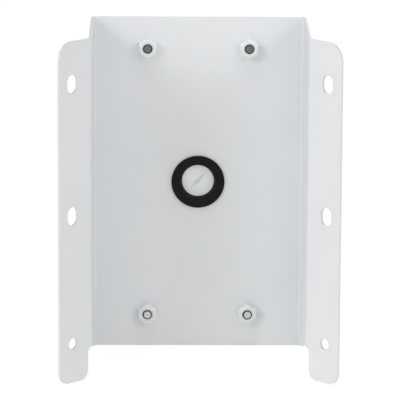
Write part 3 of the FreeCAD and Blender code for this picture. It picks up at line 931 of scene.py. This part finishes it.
@dataclass
class SpringWashers:
    """The split washers between the flat washers and the heads."""

    stack: Stack
    outer: float = 7.4
    bore: float = 4.1
    gap: float = 1.2
    lean_deg: float = 27.0
    split_tall: float = 4.0
    split_deep: float = 1.6
    edge_round: float = 0.2
    edge_angle: float = 40.0
    node: str = "spring_washers"

    def build(self) -> list[bpy.types.Object]:
        """Model one ring, cut its leaning split and copy it to the four bolts.

        Returns:
            The four spring washers.
        """
        low = self.stack.washer
        high = self.stack.under_head()
        outline = [(self.bore, low), (self.outer, low), (self.outer, high), (self.bore, high)]
        ring = lathe("spring_washer", outline)
        bpy.ops.object.select_all(action="DESELECT")
        lean = math.radians(self.lean_deg)
        bpy.ops.mesh.primitive_cube_add(
            size=1.0, location=(0.0, mm((low + high) / 2), mm(self.outer)), rotation=(0.0, 0.0, -lean))
        split = bpy.context.object
        split.scale = (mm(self.gap * math.cos(lean)), mm(self.split_tall * (high - low)),
                       mm(self.outer * self.split_deep))
        settle(split)
        cut(ring, split, Cut.TAKE_AWAY)
        soften(ring, self.edge_round, angle_deg=self.edge_angle)
        smooth(ring)
        return copies(ring, self.stack.places())


@dataclass
class CableGrommet:
    """The black rubber ring in the plate, with the slit membrane in its front end."""

    sheet: float = 2.0
    neck: float = 15.9
    rear_lip: float = 20.5
    rear_high: float = 2.2
    front_lip: float = 19.0
    front_high: float = 3.4
    mouth: float = 13.5
    bore: float = 12.25
    seat: float = 13.25
    skin: float = 1.2
    recess: float = 0.4
    lip_round: float = 1.1
    lip_inset: float = 0.15
    mouth_round: float = 0.8
    front_round: float = 0.3
    front_steps: int = 4
    steps: int = 160
    smooth_angle: float = 40.0
    ring_node: str = "cable_grommet"
    skin_node: str = "slit_membrane"
    slit_length: float = 15.0
    slit_width: float = 0.02
    groove_width: float = 1.75
    groove_depth: float = 0.95
    dish: float = 0.12
    dish_edge: float = 11.0
    dish_round: float = 1.6
    dish_steps: int = 4
    blade_steps: int = 64
    play: float = 0.05
    slit_deg: float = SLIT_DEG

    def ring(self) -> bpy.types.Object:
        """Turn the ring from its section, with round lips and a bore that narrows to the front.

        Returns:
            The closed ring.
        """
        rear = -(self.sheet + self.rear_high)
        seat_high = self.front_high - self.recess
        seat_low = seat_high - self.skin
        big, small, least = self.lip_round, self.mouth_round, self.front_round
        section = (
            arc((self.mouth + small, rear + small), small, 180.0, 270.0)
            + arc((self.rear_lip - big, rear + big), big, 270.0, 360.0)
            + [(self.rear_lip - self.lip_inset, -self.sheet), (self.neck, -self.sheet), (self.neck, 0.0),
               (self.front_lip - self.lip_inset, 0.0)]
            + arc((self.front_lip - big, self.front_high - big), big, 0.0, 90.0)
            + arc((self.bore + least, self.front_high - least), least, 90.0, 180.0, steps=self.front_steps)
            + [(self.bore, seat_high), (self.seat, seat_high), (self.seat, seat_low), (self.bore, seat_low)]
        )
        ring = lathe("grommet_ring", section, steps=self.steps)
        smooth(ring, self.smooth_angle)
        return ring

    def membrane(self) -> bpy.types.Object:
        """Turn the membrane, a little dished inside its rim, and cut its slit into a shallow groove.

        Returns:
            The closed membrane.
        """
        high = self.front_high - self.recess
        low = high - self.skin
        back = low + self.dish
        rim = self.seat - self.play
        turn = math.degrees(math.acos(1.0 - self.dish / self.dish_round))
        rise = arc((self.dish_edge, back - self.dish_round), self.dish_round, 90.0, 90.0 - turn,
                   steps=self.dish_steps)
        section = rise + [(rim, low), (rim, high), (0.0, high), (0.0, back)]
        disc = lathe("membrane_skin", section, steps=self.steps)
        cut(disc, self.blade(low, high, self.slit_width, self.slit_width), Cut.TAKE_AWAY)
        start, end = back - self.groove_depth, back + self.groove_depth
        cut(disc, self.blade(start, end, 2 * self.groove_width, self.slit_width / 2), Cut.TAKE_AWAY)
        smooth(disc, self.smooth_angle)
        return disc

    def blade(self, start: float, end: float, start_width: float, end_width: float) -> bpy.types.Object:
        """Make a long thin cutter along the slit.

        Args:
            start: The Y of its first end.
            end: The Y of its other end.
            start_width: How wide it is at the first end, in its middle.
            end_width: How wide it is at the other end.

        Returns:
            A closed cone frustum, flattened across the slit.
        """
        bpy.ops.object.select_all(action="DESELECT")
        bpy.ops.mesh.primitive_cone_add(
            vertices=self.blade_steps, radius1=mm(self.slit_length / 2), radius2=mm(self.slit_length / 2),
            depth=mm(abs(end - start)), location=(0.0, 0.0, 0.0))
        blade = bpy.context.object
        blade.name = "blade"
        side = 1.0 if end > start else -1.0

        def at_end(vertex: bpy.types.MeshVertex, mesh: bpy.types.Mesh) -> bool:
            """Tell whether a corner of the upright cutter is on its upper end.

            Args:
                vertex: The corner.
                mesh: The cutter's mesh.

            Returns:
                True on the upper end.
            """
            return vertex.co.z > 0.0

        blade.scale = (1.0, start_width / self.slit_length, 1.0)
        settle(blade)
        pick(blade, "VERT", at_end)
        bpy.ops.transform.resize(value=(1.0, end_width / start_width, 1.0))
        close_edit()
        blade.rotation_euler = (-side * math.pi / 2, 0.0, 0.0)
        blade.location = (0.0, mm((start + end) / 2), 0.0)
        settle(blade)
        blade.rotation_euler = (0.0, -math.radians(self.slit_deg), 0.0)
        settle(blade)
        return blade


def seen_directly(tree: bpy.types.NodeTree) -> bpy.types.NodeSocket:
    """Add the nodes that tell a direct, mirrored or refracted look from bounced light.

    Args:
        tree: The node tree that takes them.

    Returns:
        One for such a look and zero for bounced light.
    """
    path = add_node(tree, "ShaderNodeLightPath")
    looks = add_node(tree, "ShaderNodeMath", {
        0: path.outputs["Is Camera Ray"], 1: path.outputs["Is Glossy Ray"]}, operation="MAXIMUM")
    direct = add_node(tree, "ShaderNodeMath", {
        0: looks.outputs["Value"], 1: path.outputs["Is Transmission Ray"]}, operation="MAXIMUM")
    return direct.outputs["Value"]


@dataclass
class Studio:
    """The floor, the lights, the white surroundings and the camera."""

    floor_z: float = -0.131
    floor_size: float = 12.0
    floor_colour: str = "#faf8f3"
    shadow_share: float = 0.2
    floor_white: float = 1.06
    surround: str = "#ffffff"
    surround_strength: float = 0.5
    eye: tuple[float, float, float] = (-30.11, -2628.74, 575.01)
    yaw: float = 0.0121
    pitch: float = 0.2208
    roll: float = 0.0051
    focal_px: float = 3474.0
    frame_px: float = 400.0
    sensor: float = 36.0
    clip_end: float = 100.0
    aim: tuple[float, float, float] = (0.0, -0.05, 0.0)
    lamps: list[tuple[str, tuple[float, float, float], float, float]] = field(default_factory=lambda: [
        ("left_high", (-2.0, -2.0, 1.5), 1.2, 23.2),
        ("left_low", (-2.2, -1.6, 0.3), 1.2, 6.6),
        ("right_high", (2.0, -2.0, 1.5), 1.2, 16.0),
        ("front_low", (0.4, -3.2, 0.3), 1.2, 5.3),
        ("top", (0.0, -0.5, 2.6), 1.4, 11.9),
        ("behind", (0.9, 2.3, 1.2), 1.4, 18.0),
    ])

    def floor(self) -> None:
        """Lay a pale warm floor that keeps the bracket's shadow and looks white to the camera."""
        bpy.ops.object.select_all(action="DESELECT")
        bpy.ops.mesh.primitive_plane_add(size=self.floor_size, location=(0.0, 0.0, self.floor_z))
        floor = bpy.context.object
        floor.name = "studio_floor"
        settle(floor)
        material, tree = new_material("pale_floor")
        paint = add_node(tree, "ShaderNodeBsdfDiffuse", {"Color": linear(self.floor_colour)})
        white = add_node(tree, "ShaderNodeEmission", {
            "Color": linear(self.surround), "Strength": self.floor_white})
        seen = add_node(tree, "ShaderNodeMixShader", {
            "Fac": self.shadow_share, 1: white.outputs["Emission"], 2: paint.outputs["BSDF"]})
        mixed = add_node(tree, "ShaderNodeMixShader", {
            "Fac": seen_directly(tree), 1: paint.outputs["BSDF"], 2: seen.outputs["Shader"]})
        add_node(tree, "ShaderNodeOutputMaterial", {"Surface": mixed.outputs["Shader"]})
        floor.data.materials.append(material)

    def surroundings(self) -> None:
        """Make the world white to the camera and an even light for the bracket."""
        world = bpy.data.worlds.new("white_studio")
        world.use_nodes = True
        tree = world.node_tree
        tree.nodes.clear()
        strength = add_node(tree, "ShaderNodeMapRange", {
            "Value": seen_directly(tree), "To Min": self.surround_strength, "To Max": 1.0})
        light = add_node(tree, "ShaderNodeBackground", {
            "Color": linear(self.surround), "Strength": strength.outputs["Result"]})
        add_node(tree, "ShaderNodeOutputWorld", {"Surface": light.outputs["Background"]})
        bpy.context.scene.world = world

    def lights(self) -> None:
        """Hang the soft lamps, each turned to the bracket's middle."""
        middle = Vector(self.aim)
        for name, place, size, power in self.lamps:
            lamp = bpy.data.lights.new(name, "AREA")
            lamp.shape = "DISK"
            lamp.size = size
            lamp.energy = power
            holder = bpy.data.objects.new(name, lamp)
            bpy.context.scene.collection.objects.link(holder)
            holder.location = place
            holder.rotation_euler = (middle - Vector(place)).to_track_quat("-Z", "Y").to_euler()

    def camera(self) -> None:
        """Stand the camera where the photograph was taken from."""
        cos_p, sin_p = math.cos(self.pitch), math.sin(self.pitch)
        cos_y, sin_y = math.cos(self.yaw), math.sin(self.yaw)
        ahead = Vector((sin_y * cos_p, cos_y * cos_p, -sin_p))
        right = Vector((cos_y, -sin_y, 0.0))
        up = right.cross(ahead)
        cos_r, sin_r = math.cos(self.roll), math.sin(self.roll)
        turned_right = cos_r * right + sin_r * up
        turned_up = cos_r * up - sin_r * right
        lens = bpy.data.cameras.new("photo_camera")
        lens.sensor_width = self.sensor
        lens.lens = self.sensor * self.focal_px / self.frame_px
        lens.clip_end = self.clip_end
        holder = bpy.data.objects.new("photo_camera", lens)
        bpy.context.scene.collection.objects.link(holder)
        turn = Matrix((turned_right, turned_up, -ahead)).transposed().to_4x4()
        holder.matrix_world = Matrix.Translation(Vector([mm(v) for v in self.eye])) @ turn
        bpy.context.scene.camera = holder

    def build(self) -> None:
        """Set up the whole studio."""
        self.floor()
        self.surroundings()
        self.lights()
        self.camera()
        bpy.context.scene.view_settings.view_transform = "Standard"


def main() -> None:
    """Build every piece in order, dress it and set up the studio."""
    materials = {slot: finish.material() for slot, finish in FINISHES.items()}
    stack, thread = Stack(), Thread()
    sheet, grommet = FoldedSheet(), CableGrommet()
    nuts = WeldNuts(stack, thread, Hexagons(circle=0.84))
    bolts = HexBolts(stack, thread, Hexagons())
    springs, washers = SpringWashers(stack), FlatWashers(stack)
    coated, tapped = nuts.build()
    sets = [
        ([sheet.build()], Slot.WHITE_COAT, sheet.node),
        (coated, Slot.NUT_COAT, nuts.node),
        (bolts.build(), Slot.BOLT_STEEL, bolts.node),
        (springs.build(), Slot.WASHER_STEEL, springs.node),
        (washers.build(), Slot.WASHER_STEEL, washers.node),
        ([grommet.ring()], Slot.BLACK_RUBBER, grommet.ring_node),
        ([grommet.membrane()], Slot.GREY_RUBBER, grommet.skin_node),
    ]
    for pieces, slot, node in sets:
        for piece in pieces:
            dress(piece, materials[slot], node)
    bare = BARE_THREAD_PAINTED_DARK.material()
    for piece in tapped:
        dress(piece, bare, nuts.node)
    Studio().build()


if __name__ == "__main__":
    main()
